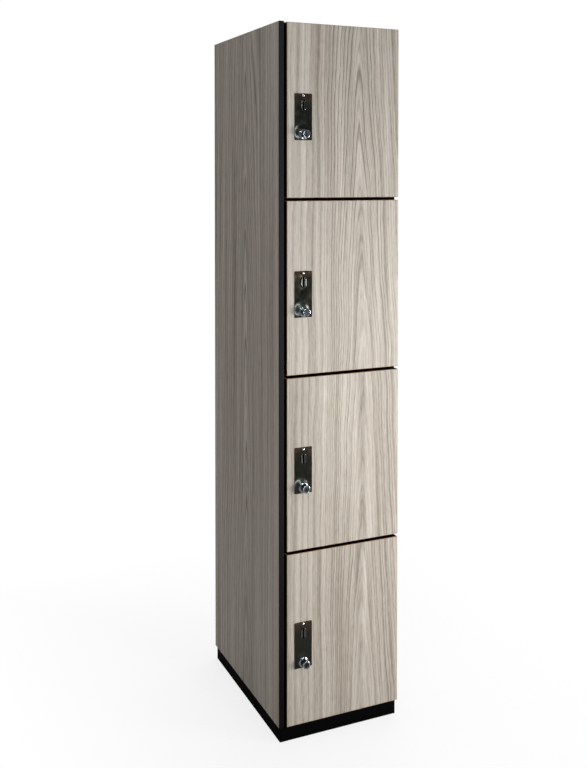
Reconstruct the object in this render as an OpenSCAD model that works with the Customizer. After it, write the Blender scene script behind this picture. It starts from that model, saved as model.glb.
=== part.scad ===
// Coin operated locker: one column of four compartments in laminate boards,
// with a finished end panel on the left, a low black plinth, four doors hung on
// concealed cup hinges on the right, and a coin lock near each door's left edge.
// Tier 1 is the top one. All sizes are in millimetres.

/* [Cabinet] */
// Width of the carcass, without the finished end panel
carcass_w = 308; // [280:1:400]
// Depth from the face of the doors to the back of the cabinet
overall_d = 457; // [380:1:600]
// Height of the carcass, above the plinth
carcass_h = 1676; // [1390:1:2020]
// Number of compartments, one above the other
tiers = 4; // [2:1:4]

/* [Boards] */
// Thickness of the sides, top, bottom and shelves
board_t = 18; // [16:0.5:22]
// Thickness of the finished end panel
end_panel_t = 13; // [10:0.5:19]
// Thickness of the back panel
back_t = 6; // [3:0.5:9]
// Thickness of the doors
door_t = 19; // [18:0.5:24]
// Thickness of the black band on the front edges of the carcass
band_t = 1; // [0.5:0.25:3]
// Thickness of the black band on the front edge of the end panel
end_band_t = 2; // [0.5:0.25:3]
// Width of the rabbet in the sides that takes the back panel
rabbet_w = 9; // [5:0.5:10]

/* [Doors] */
// Gap between one door and the next
door_gap = 7; // [3:0.5:12]
// Distance of the highest door below the top of the carcass
top_reveal = 2; // [0:0.5:6]
// Clearance of the lowest door above the plinth
bottom_reveal = 2; // [1:0.5:6]
// Gap between the end panel and the doors
left_reveal = 5.5; // [3:0.5:7]
// Distance of the doors' right edge inside the carcass
right_reveal = 1.5; // [1:0.5:4]
// Distance between the back of the doors and the front of the carcass
door_standoff = 3; // [2.5:0.25:5]
// Distance of the end panel's front edge behind the face of the doors
end_panel_setback = 4; // [0:0.5:12]
// Diameter of the rubber bumpers
bumper_d = 8; // [6:0.5:10]
// Distance of the bumpers from the ends of the doors
bumper_from_end = 30; // [24:1:60]

/* [Plinth] */
// Height of the plinth
plinth_h = 33; // [25:1:120]
// Thickness of the plinth boards
plinth_t = 16; // [12:0.5:19]
// Distance of the plinth inside the end panel
plinth_inset_left = 2; // [0:0.5:8]
// Distance of the plinth inside the carcass's right side
plinth_inset_right = 6; // [0:0.5:10]
// Distance of the plinth inside the back
plinth_inset_back = 10; // [0:1:40]
// Side of the square blocks glued in the plinth's corners
corner_block = 26; // [20:1:40]

/* [Hinges] */
// Distance of the hinge centres from the top and bottom of each door
hinge_from_end = 82; // [60:1:110]
// Diameter of the hinge cup
cup_d = 35; // [35:0.5:40]
// Depth of the cup in the door
cup_depth = 13; // [12.5:0.1:14]
// Distance of the cup's centre from the door's edge
cup_from_edge = 20.5; // [20.5:0.1:24]
// Thickness of the cup's pressed steel
cup_t = 0.8; // [0.6:0.1:1]
// Distance of the pin from the door's edge
pin_from_edge = 6.5; // [6:0.1:7]
// Distance of the pin from the back of the door
pin_from_back = 8.5; // [8:0.1:9]
// Diameter of the hinge pin
pin_d = 2.5; // [2:0.1:3]
// Thickness of the hinge arm
arm_t = 2.5; // [2:0.1:2.8]
// Width of the hinge arm
arm_w = 15; // [12:0.5:16]
// Thickness of the plate that carries the arm
mount_t = 2; // [1.5:0.25:3]
// Length of the arm behind the front of the carcass
arm_len = 44; // [40:1:60]

/* [Lock] */
// Width of the lock's face plate
plate_w = 45; // [40:1:60]
// Height of the face plate
plate_h = 110; // [100:1:140]
// Thickness of the face plate
plate_t = 1.5; // [1:0.1:3]
// Gap between the lock case and the left side, for the swing of the door
case_clear = 5.5; // [5:0.5:20]
// Distance of the plate's middle below the middle of the door
plate_below_middle = 15; // [0:1:30]
// Height of the plug's axis above the lower edge of the plate
plug_up = 14; // [13:0.5:20]
// Diameter of the lock barrel
barrel_d = 19; // [18:0.5:22]
// Length of the barrel in front of the plate
barrel_out = 20; // [12:0.5:30]
// Diameter of the domed boss around the barrel
boss_d = 26; // [23:0.5:26]
// Height of the domed boss
boss_h = 4; // [2:0.5:6]
// Diameter of the turning plug
plug_d = 13; // [12:0.5:14]
// Diameter of the coin
coin_d = 21.2; // [18:0.1:27]
// Thickness of the coin
coin_t = 1.95; // [1:0.05:3]
// Distance of the slot's middle below the upper edge of the plate
slot_down = 27; // [24:0.5:32]
// Width of the coin slot's bezel
bezel_w = 13; // [10:0.5:18]
// Distance that the bezel stands proud of the plate
bezel_out = 2.5; // [1:0.5:5]
// Diameter of the domed screw head
screw_head_d = 7; // [5:0.5:9]
// Height of the domed screw head
screw_head_h = 1.8; // [1:0.1:2.5]
// Distance of the domed screw below the upper edge of the plate
screw_down = 5; // [4:0.5:8]
// Width of the lock case behind the door
case_w = 48; // [48:0.5:60]
// Depth to spare behind the coin in the lock case
coin_room = 3.3; // [2:0.1:10]
// Wall of the lock case
case_wall = 1.5; // [1:0.1:2.5]
// Travel of the bolt
bolt_travel = 12; // [10:0.5:14]
// Thickness of the bolt
bolt_t = 5; // [4:0.5:6]
// Height of the bolt
bolt_h = 13.5; // [13.5:0.5:16]

/* [Fasteners] */
// Diameter of the long screws through the sides into the boards
side_screw_d = 5; // [4:0.5:6]
// Length of those screws
side_screw_len = 50; // [40:1:60]
// Diameter of their heads
side_head_d = 9; // [7:0.5:11]
// Depth of their heads
side_head_h = 3; // [2:0.5:4]
// Distance of those screws from the front and the back of the boards
side_screw_in = 60; // [40:1:90]
// Diameter of the small wood screws
wood_screw_d = 3; // [2.5:0.1:3.5]
// Diameter of the small screws' heads
wood_head_d = 6; // [5:0.5:8]
// Length of the small screws in the board
wood_screw_len = 11; // [8:0.5:12]
// Distance of the end panel's screws from the front and the back of the side
panel_screw_in = 110; // [100:1:140]
// Diameter of the screw that clamps a hinge arm
arm_screw_d = 5; // [4:0.5:6]
// Diameter of that screw's head
arm_head_d = 9; // [8:0.5:11]
// Diameter of the holes for bolts to the next column
gang_hole_d = 6.6; // [5:0.1:9]
// Distance of those holes from the front and the back of the side
gang_in = 100; // [95:1:140]
// Distance of those holes from the top and the bottom of the side
gang_from_end = 120; // [60:1:200]
// Diameter of the wall anchor holes
anchor_d = 7; // [5:0.5:10]
// Distance between the two wall anchor holes
anchor_spacing = 150; // [80:1:200]
// Distance of the wall anchor holes below the top panel
anchor_down = 60; // [20:1:150]

/* [Strikes] */
// Thickness of the strike plates
strike_t = 1.5; // [1:0.1:2]
// Width of the strike plates
strike_w = 18; // [16:0.5:22]
// Height of the strike plates
strike_h = 44; // [38:1:60]

/* [Fits] */
// Radial clearance of a pin or plug that turns
running_fit = 0.05; // [0.03:0.01:0.1]
// Clearance around a piece that is seated or screwed down
seat_fit = 0.15; // [0.1:0.05:0.4]
// Clearance around a piece that slides
slide_fit = 0.4; // [0.3:0.05:0.6]
// Clearance between the coin and its slot
coin_fit = 0.3; // [0.2:0.05:0.6]

/* [Hidden] */
$fn = 96;
// Overlap of a cutting tool past the face that it cuts
past = 1;

tier_list = [1:tiers];

// The cabinet's own corner: x = 0 at the end panel's outer face, y = 0 at the
// front of the carcass, z = 0 at the floor
overall_w = end_panel_t + carcass_w;
top_z = plinth_h + carcass_h;
door_back_y = -door_standoff;
door_front_y = door_back_y - door_t;
back_y = door_front_y + overall_d;
plate_front_y = door_front_y - plate_t;
barrel_tip_y = plate_front_y - barrel_out;
end_panel_y = door_front_y + end_panel_setback;
left_in_x = end_panel_t + board_t;
right_in_x = overall_w - board_t;
inside_w = right_in_x - left_in_x;

door_x = end_panel_t + left_reveal;
door_w = overall_w - right_reveal - door_x;
door_h = (carcass_h - top_reveal - bottom_reveal - (tiers - 1) * door_gap) / tiers;
door_pitch = door_h + door_gap;

// Heights of the two hinges on a door, from its lower edge
hinge_heights = [hinge_from_end, door_h - hinge_from_end];
// The pin, from the door's lower left corner and its back
pin_x = door_w - pin_from_edge;
pin_y = -pin_from_back;
// The pin, from the front of the carcass
pin_depth = door_back_y - pin_from_back;
cup_x = door_w - cup_from_edge;
cup_flange_t = 1;
cup_flange_in = 14.5;
cup_flange_out = 9;
cup_flange_end = 6;
eye_wall = 1.4;
eye_r = pin_d / 2 + running_fit + eye_wall;
eye_gap = 0.45;
knuckle_x = pin_x + eye_r + eye_gap;
knuckle_gap = 0.7;
knuckle_w = arm_w + 2 * knuckle_gap;
pin_hole_fit = 0.02;
// The arm reaches from the pin past the side board and its mounting plate
arm_reach = board_t + mount_t + arm_t - pin_from_edge - right_reveal;
cup_screw_z = 22.5;
cup_screw_x = -9.5;

// The plug's axis, from the door's lower left corner
lock_x = left_in_x + case_clear + case_w / 2 - door_x;
plate_z = door_h / 2 - plate_below_middle - plate_h / 2;
plug_z = plate_z + plug_up;
slot_z = plate_z + plate_h - slot_down;
plate_corner_r = 2;
slot_w = coin_t + 2 * coin_fit;
slot_h = coin_d + 2 * coin_fit;
throat_t = 1;
bezel_rim = 1.7;
// Depths in the door are counted from its back, forwards being negative
plate_face = -door_t - plate_t;
barrel_front = plate_face - barrel_out;
barrel_chamfer = 1;
boss_edge = 1;
keyway_w = 2.4;
keyway_h = 8.5;
keyway_d = 14;
plug_recess = 0.6;
// The lock case is deep enough for the coin to fall inside it
case_d = coin_d + coin_room + case_wall;
// The bolt and its cam, behind the back of the door
cam_y = 8;
cam_t = 3;
cam_gap = 0.5;
barrel_back = cam_y - cam_gap;
bolt_y = cam_y + cam_t + cam_gap;
cam_r = bolt_travel / sqrt(2);
cam_pin_r = 2;
cam_rim = 1.5;
cam_slot_fit = 0.5;
cam_slot_w = 2 * (cam_pin_r + cam_slot_fit);
cam_slot_end = cam_pin_r + 0.6;
bolt_top = -0.5;
bolt_sunk = 0.5;
bolt_tip = -case_w / 2 + bolt_sunk;
bolt_tail_wall = 4;
bolt_tail = cam_r * sin(45) + cam_pin_r + bolt_tail_wall;
case_below = 18;
case_top_in = 6;
case_top = plate_h - plug_up - case_top_in;
ear_h = 8;
ear_screw_x = case_w / 2 - 8;
ear_screw_z = [-case_below - ear_h / 2, case_top + ear_h / 2];
ear_screws = [for (x = [-1, 1], z = ear_screw_z) [x * ear_screw_x, 0, z]];
// The coin's cup and its lever, above the plug's axis
cup_floor_gap = 4.5;
cup_floor = cam_r + cam_pin_r + cup_floor_gap;
lever_x = 14;
lever_z = 47;
lever_post_r = 2;
lever_boss_t = 2;
lever_t = 2;
lever_past_coin = 5;
lever_y = 8;
lever_w = 11;
chute_t = 1.2;
chute_above_lever = 5;
coin_window = coin_d + 3;
// The middle of the bolt, from the back of the door and from the plug's axis
strike_y = bolt_y + bolt_t / 2;
strike_z = bolt_top - bolt_h / 2;
// How far the bolt goes into the side, and the spare depth of its mortise
bolt_reach = bolt_travel - (door_x + lock_x + bolt_tip - left_in_x);
mortise_spare = 2;
strike_screw_z = strike_h / 2 - 6;

// The hinge arm's mounting plate
mount_mid = 25;
mount_d = 34;
mount_h = 44;
mount_screw_z = 16;

wood_head_t = 1;
arm_head_t = 2;
panel_screw_len = board_t + 6;
band_joint = 0.1;
bumper_clear = 0.2;

plinth_x1 = plinth_inset_left;
plinth_x2 = overall_w - plinth_inset_right;
plinth_y1 = end_panel_y;
plinth_y2 = back_y - plinth_inset_back;

function door_z(i) = plinth_h + bottom_reveal + (tiers - i) * door_pitch;
function shelf_z(i) = door_z(i) - door_gap / 2 - board_t / 2;
board_heights = concat(
    [plinth_h, top_z - board_t],
    [for (i = [1:tiers - 1]) shelf_z(i)]
);

// Moves the cabinet so that the origin is under the middle of its box
module in_frame()
    translate([-overall_w / 2, -(barrel_tip_y + back_y) / 2, 0]) children();

// Puts children at a door: x from its left edge, y from its back, z from its lower edge
module at_door(i) translate([door_x, door_back_y, door_z(i)]) children();

// Puts children at a door's plug axis
module at_plug(i) at_door(i) translate([lock_x, 0, plug_z]) children();

// A box from one corner to the other
module block(low, high) translate(low) cube(high - low);

// A cylinder along y, from y1 to y2
module rod_y(r, y1, y2) translate([0, y1, 0]) rotate([-90, 0, 0]) cylinder(r = r, h = y2 - y1);

// A cylinder along x, from x1 to x2
module rod_x(r, x1, x2) translate([x1, 0, 0]) rotate([0, 90, 0]) cylinder(r = r, h = x2 - x1);

// A plate standing in the xz plane, with round corners
module round_plate(w, h, r, y1, y2) {
    for (x = [r, w - r], z = [r, h - r]) translate([x, 0, z]) rod_y(r, y1, y2);
    block([r, y1, 0], [w - r, y2, h]);
    block([0, y1, r], [w, y2, h - r]);
}

// An upright slot with round ends, about its own middle
module oval(w, h, y1, y2) {
    for (side = [-1, 1]) translate([0, 0, side * (h - w) / 2]) rod_y(w / 2, y1, y2);
    block([-w / 2, y1, -(h - w) / 2], [w / 2, y2, (h - w) / 2]);
}

// ---------- Carcass ----------

// A long screw through a side into the end of a board, along x
module side_screw(grow) {
    rod_x(side_screw_d / 2 + grow, -side_screw_len, past * sign(grow));
    rod_x(side_head_d / 2 + grow, -side_head_h - grow, past * sign(grow));
}

// Children at every side screw, pointing out of the carcass towards +x or -x
module at_side_screws(side)
    for (y = [side_screw_in, back_y - back_t - side_screw_in], z = board_heights)
        translate([side > 0 ? overall_w : end_panel_t, y, z + board_t / 2])
            scale([side, 1, 1]) children();

// Children on the left side's inner face, level with a door's plug
module at_side_face(i) at_plug(i) translate([left_in_x - door_x - lock_x, 0, 0]) children();

// Children at the two screws of a strike, on the side's inner face
module at_strike_screws(i)
    at_side_face(i) for (side = [-1, 1])
        translate([0, strike_y, strike_z + side * strike_screw_z]) children();

// Children at the two screws of each hinge plate, on the right side's inner face
module at_mount_screws(i)
    for (h = hinge_heights, side = [-1, 1])
        translate([right_in_x, mount_mid, door_z(i) + h + side * mount_screw_z]) children();

// Children at the screws that hold the end panel, two in each compartment
module at_panel_screws()
    for (i = tier_list, y = [panel_screw_in, back_y - back_t - panel_screw_in])
        translate([left_in_x, y, door_z(i) + door_h / 2]) children();

// A flat headed screw along x, sunk flush with the face at x = 0
module flush_screw(grow, len) {
    rod_x(wood_screw_d / 2 - seat_fit + grow, -len - grow, past * sign(grow));
    rod_x(wood_head_d / 2 + grow, -wood_head_t - grow, past * sign(grow));
}

module side_board(x) block([x, band_t, plinth_h], [x + board_t, back_y, top_z]);

module end_panel() color("#746d66")
    difference() {
        block([0, end_panel_y + end_band_t, plinth_h], [end_panel_t, back_y, top_z]);
        at_panel_screws() flush_screw(seat_fit, panel_screw_len);
    }

module end_panel_edge_band() color("#21242b")
    block([0, end_panel_y, plinth_h], [end_panel_t, end_panel_y + end_band_t, top_z]);

module left_side() color("#c1b7ac")
    difference() {
        side_board(end_panel_t);
        block([left_in_x - rabbet_w, back_y - back_t, plinth_h - past],
            [left_in_x + past, back_y + past, top_z + past]);
        at_side_screws(-1) side_screw(seat_fit);
        at_panel_screws() flush_screw(seat_fit, panel_screw_len);
        for (i = tier_list) {
            at_side_face(i) bolt_way(-bolt_reach - mortise_spare, past);
            at_strike_screws(i) pilot_hole();
        }
    }

// The bolt's section with its clearance, along x from x1 to x2
module bolt_way(x1, x2)
    block([x1, bolt_y - slide_fit, bolt_top - bolt_h - slide_fit],
        [x2, bolt_y + bolt_t + slide_fit, bolt_top + slide_fit]);

// The hole in a board for a small wood screw, along x
module pilot_hole() rod_x(wood_screw_d / 2, -wood_screw_len - past, past);

module right_side() color("#c1b7ac")
    difference() {
        side_board(right_in_x);
        block([right_in_x - past, back_y - back_t, plinth_h - past],
            [right_in_x + rabbet_w, back_y + past, top_z + past]);
        at_side_screws(1) side_screw(seat_fit);
        for (y = [gang_in, back_y - back_t - gang_in])
            for (z = [plinth_h + gang_from_end, top_z - gang_from_end])
                translate([right_in_x, y, z]) rod_x(gang_hole_d / 2, -past, board_t + past);
        for (i = tier_list) at_mount_screws(i) mirror([1, 0, 0]) pilot_hole();
    }

// A board between the sides, with the holes that its screws cut
module cross_board(z)
    difference() {
        block([left_in_x, band_t, z], [right_in_x, back_y - back_t, z + board_t]);
        for (side = [-1, 1]) at_side_screws(side) side_screw(seat_fit);
    }

module top_panel() color("#c1b7ac") cross_board(top_z - board_t);

module bottom_panel() color("#c1b7ac") cross_board(plinth_h);

module shelf(i) color("#c1b7ac") cross_board(shelf_z(i));

module back_panel() color("#b9b0a6")
    difference() {
        block([left_in_x - rabbet_w, back_y - back_t, plinth_h],
            [right_in_x + rabbet_w, back_y, top_z]);
        for (side = [-1, 1])
            translate([(left_in_x + right_in_x + side * anchor_spacing) / 2, 0, top_z])
                translate([0, 0, -board_t - anchor_down])
                    rod_y(anchor_d / 2, back_y - back_t - past, back_y + past);
    }

module front_edge_bands() color("#21242b") {
    for (x = [end_panel_t, right_in_x]) block([x, 0, plinth_h], [x + board_t, band_t, top_z]);
    for (z = board_heights)
        block([left_in_x + band_joint, 0, z], [right_in_x - band_joint, band_t, z + board_t]);
}

module carcass_screws() color("#c9cacc") {
    for (side = [-1, 1]) at_side_screws(side) side_screw(0);
    at_panel_screws() flush_screw(0, panel_screw_len);
    for (i = tier_list) {
        at_strike_screws(i) wood_screw(strike_t);
        at_mount_screws(i) mirror([1, 0, 0]) wood_screw(mount_t);
        for (h = hinge_heights)
            translate([right_in_x - mount_t, mount_mid, door_z(i) + h]) arm_screw();
    }
}

// A small wood screw along x: its head lies on a plate and its shank enters the board
module wood_screw(plate) {
    rod_x(wood_screw_d / 2 - seat_fit, -wood_screw_len, plate);
    rod_x(wood_head_d / 2, plate, plate + wood_head_t);
}

// The machine screw through a hinge arm into its mounting plate
module arm_screw() {
    rod_x(arm_screw_d / 2, -arm_t, mount_t - seat_fit);
    rod_x(arm_head_d / 2, -arm_t - arm_head_t, -arm_t);
}

// ---------- Plinth ----------

module plinth_front() color("#0d0d0e")
    block([plinth_x1, plinth_y1, 0], [plinth_x2, plinth_y1 + plinth_t, plinth_h]);

module plinth_rear() color("#0d0d0e")
    block([plinth_x1, plinth_y2 - plinth_t, 0], [plinth_x2, plinth_y2, plinth_h]);

module plinth_ends() color("#0d0d0e")
    for (x = [plinth_x1, plinth_x2 - plinth_t])
        block([x, plinth_y1 + plinth_t, 0], [x + plinth_t, plinth_y2 - plinth_t, plinth_h]);

module plinth_corner_blocks() color("#c8a878")
    for (x = [plinth_x1 + plinth_t, plinth_x2 - plinth_t - corner_block])
        for (y = [plinth_y1 + plinth_t, plinth_y2 - plinth_t - corner_block])
            block([x, y, 0], [x + corner_block, y + corner_block, plinth_h]);

// ---------- Doors ----------

module cup_pocket(grow) {
    translate([cup_x, 0, 0]) rod_y(cup_d / 2 + grow, -cup_depth - grow, past);
    block([cup_x, -cup_depth - grow, -knuckle_w / 2 - cup_t - grow],
        [knuckle_x + cup_t + grow, past, knuckle_w / 2 + cup_t + grow]);
}

module at_cup_screws()
    for (side = [-1, 1])
        translate([cup_x + cup_screw_x, 0, side * cup_screw_z]) children();

// The way through a door or its plate for the barrel
module barrel_hole(y1, y2)
    translate([lock_x, 0, plug_z]) rod_y(barrel_d / 2 + seat_fit, y1, y2);

// The way through a door or its plate for the coin slot's throat
module throat_hole(y1, y2)
    translate([lock_x, 0, slot_z])
        block([-slot_w / 2 - throat_t - seat_fit, y1, -slot_h / 2 - throat_t - seat_fit],
            [slot_w / 2 + throat_t + seat_fit, y2, slot_h / 2 + throat_t + seat_fit]);

// Children at the domed screw's place on the plate
module at_plate_screw() translate([lock_x, 0, plate_z + plate_h - screw_down]) children();

module door_panel(i) color("#c1b7ac")
    at_door(i) difference() {
        block([0, -door_t, 0], [door_w, 0, door_h]);
        for (h = hinge_heights) translate([0, 0, h]) {
            cup_pocket(seat_fit);
            at_cup_screws() back_hole();
        }
        translate([lock_x, 0, plug_z]) for (p = ear_screws) translate(p) back_hole();
        barrel_hole(-door_t - past, past);
        throat_hole(-door_t - past, past);
        at_plate_screw()
            rod_y(wood_screw_d / 2 + seat_fit, -door_t - past, -door_t + wood_screw_len + past);
    }

// A pressed cup with a square housing for the pin and a flange on the back of the door
module hinge_cup() {
    difference() {
        union() {
            intersection() {
                cup_pocket(0);
                block([0, -door_t, -cup_d], [door_w, 0, cup_d]);
            }
            block([cup_x - cup_flange_in, 0, -cup_screw_z - cup_flange_end],
                [cup_x + cup_flange_out, cup_flange_t, cup_screw_z + cup_flange_end]);
            block([cup_x, 0, -cup_d / 2], [knuckle_x + cup_t, cup_flange_t, cup_d / 2]);
        }
        translate([cup_x, 0, 0]) rod_y(cup_d / 2 - cup_t, -cup_depth + cup_t, cup_flange_t + past);
        block([cup_x, -cup_depth + cup_t, -knuckle_w / 2],
            [knuckle_x, cup_flange_t + past, knuckle_w / 2]);
        at_cup_screws() rod_y(wood_screw_d / 2 + seat_fit, -past, cup_flange_t + past);
        translate([pin_x, pin_y, 0])
            cylinder(r = pin_d / 2 + pin_hole_fit, h = knuckle_w + 4 * cup_t, center = true);
    }
}

module hinge_cups(i) color("#c9cacc")
    at_door(i) for (h = hinge_heights) translate([0, 0, h]) hinge_cup();

module door_fasteners(i) color("#d9dadc")
    at_door(i) {
        for (h = hinge_heights) translate([0, 0, h]) {
            translate([pin_x, pin_y, 0])
                cylinder(r = pin_d / 2, h = knuckle_w + 2 * cup_t, center = true);
            at_cup_screws() back_screw(cup_flange_t);
        }
        translate([lock_x, 0, plug_z]) for (p = ear_screws) translate(p) back_screw(case_wall);
        at_plate_screw() domed_screw();
    }

// A wood screw into the back of the door, and the hole that it cuts
module back_screw(plate) {
    rod_y(wood_screw_d / 2 - seat_fit, -wood_screw_len, plate);
    rod_y(wood_head_d / 2, plate, plate + wood_head_t);
}

module back_hole() rod_y(wood_screw_d / 2, -wood_screw_len - past, past);

// The screw at the top of the face plate, with a low round head
module domed_screw() {
    ball_r = (pow(screw_head_d / 2, 2) + pow(screw_head_h, 2)) / (2 * screw_head_h);
    rod_y(wood_screw_d / 2, plate_face, -door_t + wood_screw_len);
    intersection() {
        translate([0, plate_face - screw_head_h + ball_r, 0]) sphere(r = ball_r);
        rod_y(screw_head_d / 2, plate_face - screw_head_h, plate_face);
    }
}

// ---------- Coin lock ----------

module lock_plate(i) color("#4a4c4e")
    at_door(i) difference() {
        translate([lock_x - plate_w / 2, 0, plate_z])
            round_plate(plate_w, plate_h, plate_corner_r, plate_face, -door_t);
        barrel_hole(plate_face - past, -door_t + past);
        throat_hole(plate_face - past, -door_t + past);
        at_plate_screw() rod_y(wood_screw_d / 2 + seat_fit, plate_face - past, -door_t + past);
    }

// The bezel on the plate, with a throat that guides the coin through the door
module coin_slot(i) color("#8d8f92")
    at_door(i) translate([lock_x, 0, slot_z]) difference() {
        union() {
            oval(bezel_w, slot_h + 2 * bezel_rim, plate_face - bezel_out, plate_face);
            block([-slot_w / 2 - throat_t, plate_face - bezel_out / 2, -slot_h / 2 - throat_t],
                [slot_w / 2 + throat_t, 0, slot_h / 2 + throat_t]);
        }
        block([-slot_w / 2, plate_face - bezel_out - past, -slot_h / 2],
            [slot_w / 2, past, slot_h / 2]);
    }

// The barrel and its domed boss, turned in one piece and bored for the plug
module lock_cylinder(i) color("#c9ced2")
    at_plug(i) rotate([-90, 0, 0]) rotate_extrude()
        polygon([
            [plug_d / 2 + running_fit, barrel_front],
            [barrel_d / 2 - barrel_chamfer, barrel_front],
            [barrel_d / 2, barrel_front + barrel_chamfer],
            [barrel_d / 2, plate_face - boss_h],
            [boss_d / 2 - boss_edge, plate_face - boss_edge],
            [boss_d / 2, plate_face],
            [barrel_d / 2, plate_face],
            [barrel_d / 2, barrel_back],
            [plug_d / 2 + running_fit, barrel_back]
        ]);

// The plug with its keyway, its cam disc and the cam's pin, at the unlocked position
module lock_plug(i) color("#6f7275")
    at_plug(i) {
        difference() {
            rod_y(plug_d / 2, barrel_front + plug_recess, cam_y);
            block([-keyway_w / 2, barrel_front, -keyway_h / 2],
                [keyway_w / 2, barrel_front + plug_recess + keyway_d, keyway_h / 2]);
        }
        rod_y(cam_r + cam_pin_r + cam_rim, cam_y, cam_y + cam_t);
        translate([cam_r * sin(45), 0, -cam_r * cos(45)])
            rod_y(cam_pin_r, cam_y + cam_t / 2, bolt_y + bolt_t);
    }

// The flat bolt, driven by the cam's pin in its upright slot
module lock_bolt(i) color("#b9bcc0")
    at_plug(i) difference() {
        block([bolt_tip, bolt_y, bolt_top - bolt_h], [bolt_tail, bolt_y + bolt_t, bolt_top]);
        translate([cam_r * sin(45), bolt_y, 0])
            block([-cam_slot_w / 2, -past, -cam_r - cam_slot_end],
                [cam_slot_w / 2, bolt_t + past, -cam_r * cos(45) + cam_slot_end]);
    }

// The pressed case behind the door, with the bolt's guide, the coin's chute and cup,
// and the lever's post
module lock_case(i) color("#8a8c8e")
    at_plug(i) {
        difference() {
            union() {
                block([-case_w / 2, 0, -case_below], [case_w / 2, case_d, case_top]);
                for (z = [-case_below - ear_h, case_top])
                    block([-case_w / 2, 0, z], [case_w / 2, case_wall, z + ear_h]);
            }
            block([-case_w / 2 + case_wall, -past, -case_below + case_wall],
                [case_w / 2 - case_wall, case_d - case_wall, case_top - case_wall]);
            // The bolt's way out
            bolt_way(-case_w / 2 - past, -case_w / 2 + 2 * case_wall);
            // The window where the coin is taken back
            block([-coin_window / 2, case_d - 2 * case_wall, cup_floor + case_wall],
                [coin_window / 2, case_d + past, cup_floor + case_wall + coin_window]);
            for (p = ear_screws) translate(p) rod_y(wood_screw_d / 2 + seat_fit, -past, case_wall + past);
        }
        // The coin cup's floor
        block([-case_w / 2 + case_wall, 0, cup_floor],
            [case_w / 2 - case_wall, case_d - case_wall, cup_floor + case_wall]);
        // The bolt's lower guide
        block([-case_w / 2 + case_wall, bolt_y, -case_below + case_wall],
            [case_w / 2 - case_wall, bolt_y + bolt_t, bolt_top - bolt_h - slide_fit]);
        // The chute's walls
        for (side = [-1, 1]) translate([side * (slot_w + chute_t) / 2, 0, 0])
            block([-chute_t / 2, 0, lever_z + chute_above_lever],
                [chute_t / 2, case_d - case_wall, case_top - case_wall]);
        // The lever's post
        translate([lever_x, 0, lever_z])
            rod_y(lever_post_r, lever_y - past, case_d - case_wall / 2);
    }

// The lever that holds the coin above its cup until the plug turns
module coin_lever(i) color("#b08d4c")
    at_plug(i) translate([lever_x, 0, lever_z]) difference() {
        union() {
            rod_y(lever_post_r + lever_boss_t, lever_y, lever_y + lever_w);
            block([-lever_x - lever_past_coin, lever_y, -lever_t / 2],
                [0, lever_y + lever_w, lever_t / 2]);
        }
        rod_y(lever_post_r + running_fit, lever_y - past, lever_y + lever_w + past);
    }

// ---------- Hinge arms, strikes and bumpers on the carcass ----------

module hinge_arm()
    difference() {
        union() {
            cylinder(r = eye_r, h = arm_w, center = true);
            block([-arm_reach, -arm_t / 2, -arm_w / 2], [0, arm_t / 2, arm_w / 2]);
            block([-arm_reach, -arm_t / 2, -arm_w / 2],
                [-arm_reach + arm_t, arm_len - pin_depth, arm_w / 2]);
        }
        cylinder(r = pin_d / 2 + running_fit, h = arm_w + past, center = true);
        translate([-arm_reach, mount_mid - pin_depth, 0])
            rod_x(arm_screw_d / 2 + seat_fit, -past, arm_t + past);
    }

module hinge_arms() color("#c9cacc")
    for (i = tier_list, h = hinge_heights)
        translate([door_x + pin_x, pin_depth, door_z(i) + h]) hinge_arm();

// The plates that carry the arms, screwed to the right side
module hinge_plates() color("#a9abad")
    for (i = tier_list)
        difference() {
            for (h = hinge_heights)
                translate([right_in_x, mount_mid, door_z(i) + h])
                    block([-mount_t, -mount_d / 2, -mount_h / 2], [0, mount_d / 2, mount_h / 2]);
            for (h = hinge_heights)
                translate([right_in_x, mount_mid, door_z(i) + h])
                    rod_x(arm_screw_d / 2 + seat_fit, -mount_t - past, past);
            at_mount_screws(i) rod_x(wood_screw_d / 2 + seat_fit, -mount_t - past, past);
        }

module strikes() color("#b9bcc0")
    for (i = tier_list)
        difference() {
            at_side_face(i) difference() {
                block([0, strike_y - strike_w / 2, strike_z - strike_h / 2],
                    [strike_t, strike_y + strike_w / 2, strike_z + strike_h / 2]);
                bolt_way(-past, strike_t + past);
            }
            at_strike_screws(i) rod_x(wood_screw_d / 2 + seat_fit, -past, strike_t + past);
        }

module door_bumpers() color("#3a3a3a")
    for (i = tier_list, z = [bumper_from_end, door_h - bumper_from_end])
        translate([(door_x + left_in_x) / 2, 0, door_z(i) + z])
            rod_y(bumper_d / 2, -door_standoff + bumper_clear, 0);

// ---------- Nodes ----------

in_frame() end_panel();
in_frame() end_panel_edge_band();
in_frame() left_side();
in_frame() right_side();
in_frame() top_panel();
in_frame() bottom_panel();
in_frame() back_panel();
in_frame() front_edge_bands();
in_frame() plinth_front();
in_frame() plinth_rear();
in_frame() plinth_ends();
in_frame() plinth_corner_blocks();
in_frame() hinge_arms();
in_frame() hinge_plates();
in_frame() strikes();
in_frame() door_bumpers();
in_frame() carcass_screws();
for (i = [1:tiers - 1])
    in_frame() shelf(i);
for (i = tier_list) {
    in_frame() door_panel(i);
    in_frame() hinge_cups(i);
    in_frame() door_fasteners(i);
    in_frame() lock_plate(i);
    in_frame() coin_slot(i);
    in_frame() lock_cylinder(i);
    in_frame() lock_plug(i);
    in_frame() lock_case(i);
    in_frame() coin_lever(i);
    in_frame() lock_bolt(i);
}
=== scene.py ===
import math
import bmesh
import bpy
from mathutils import Matrix, Vector


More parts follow.
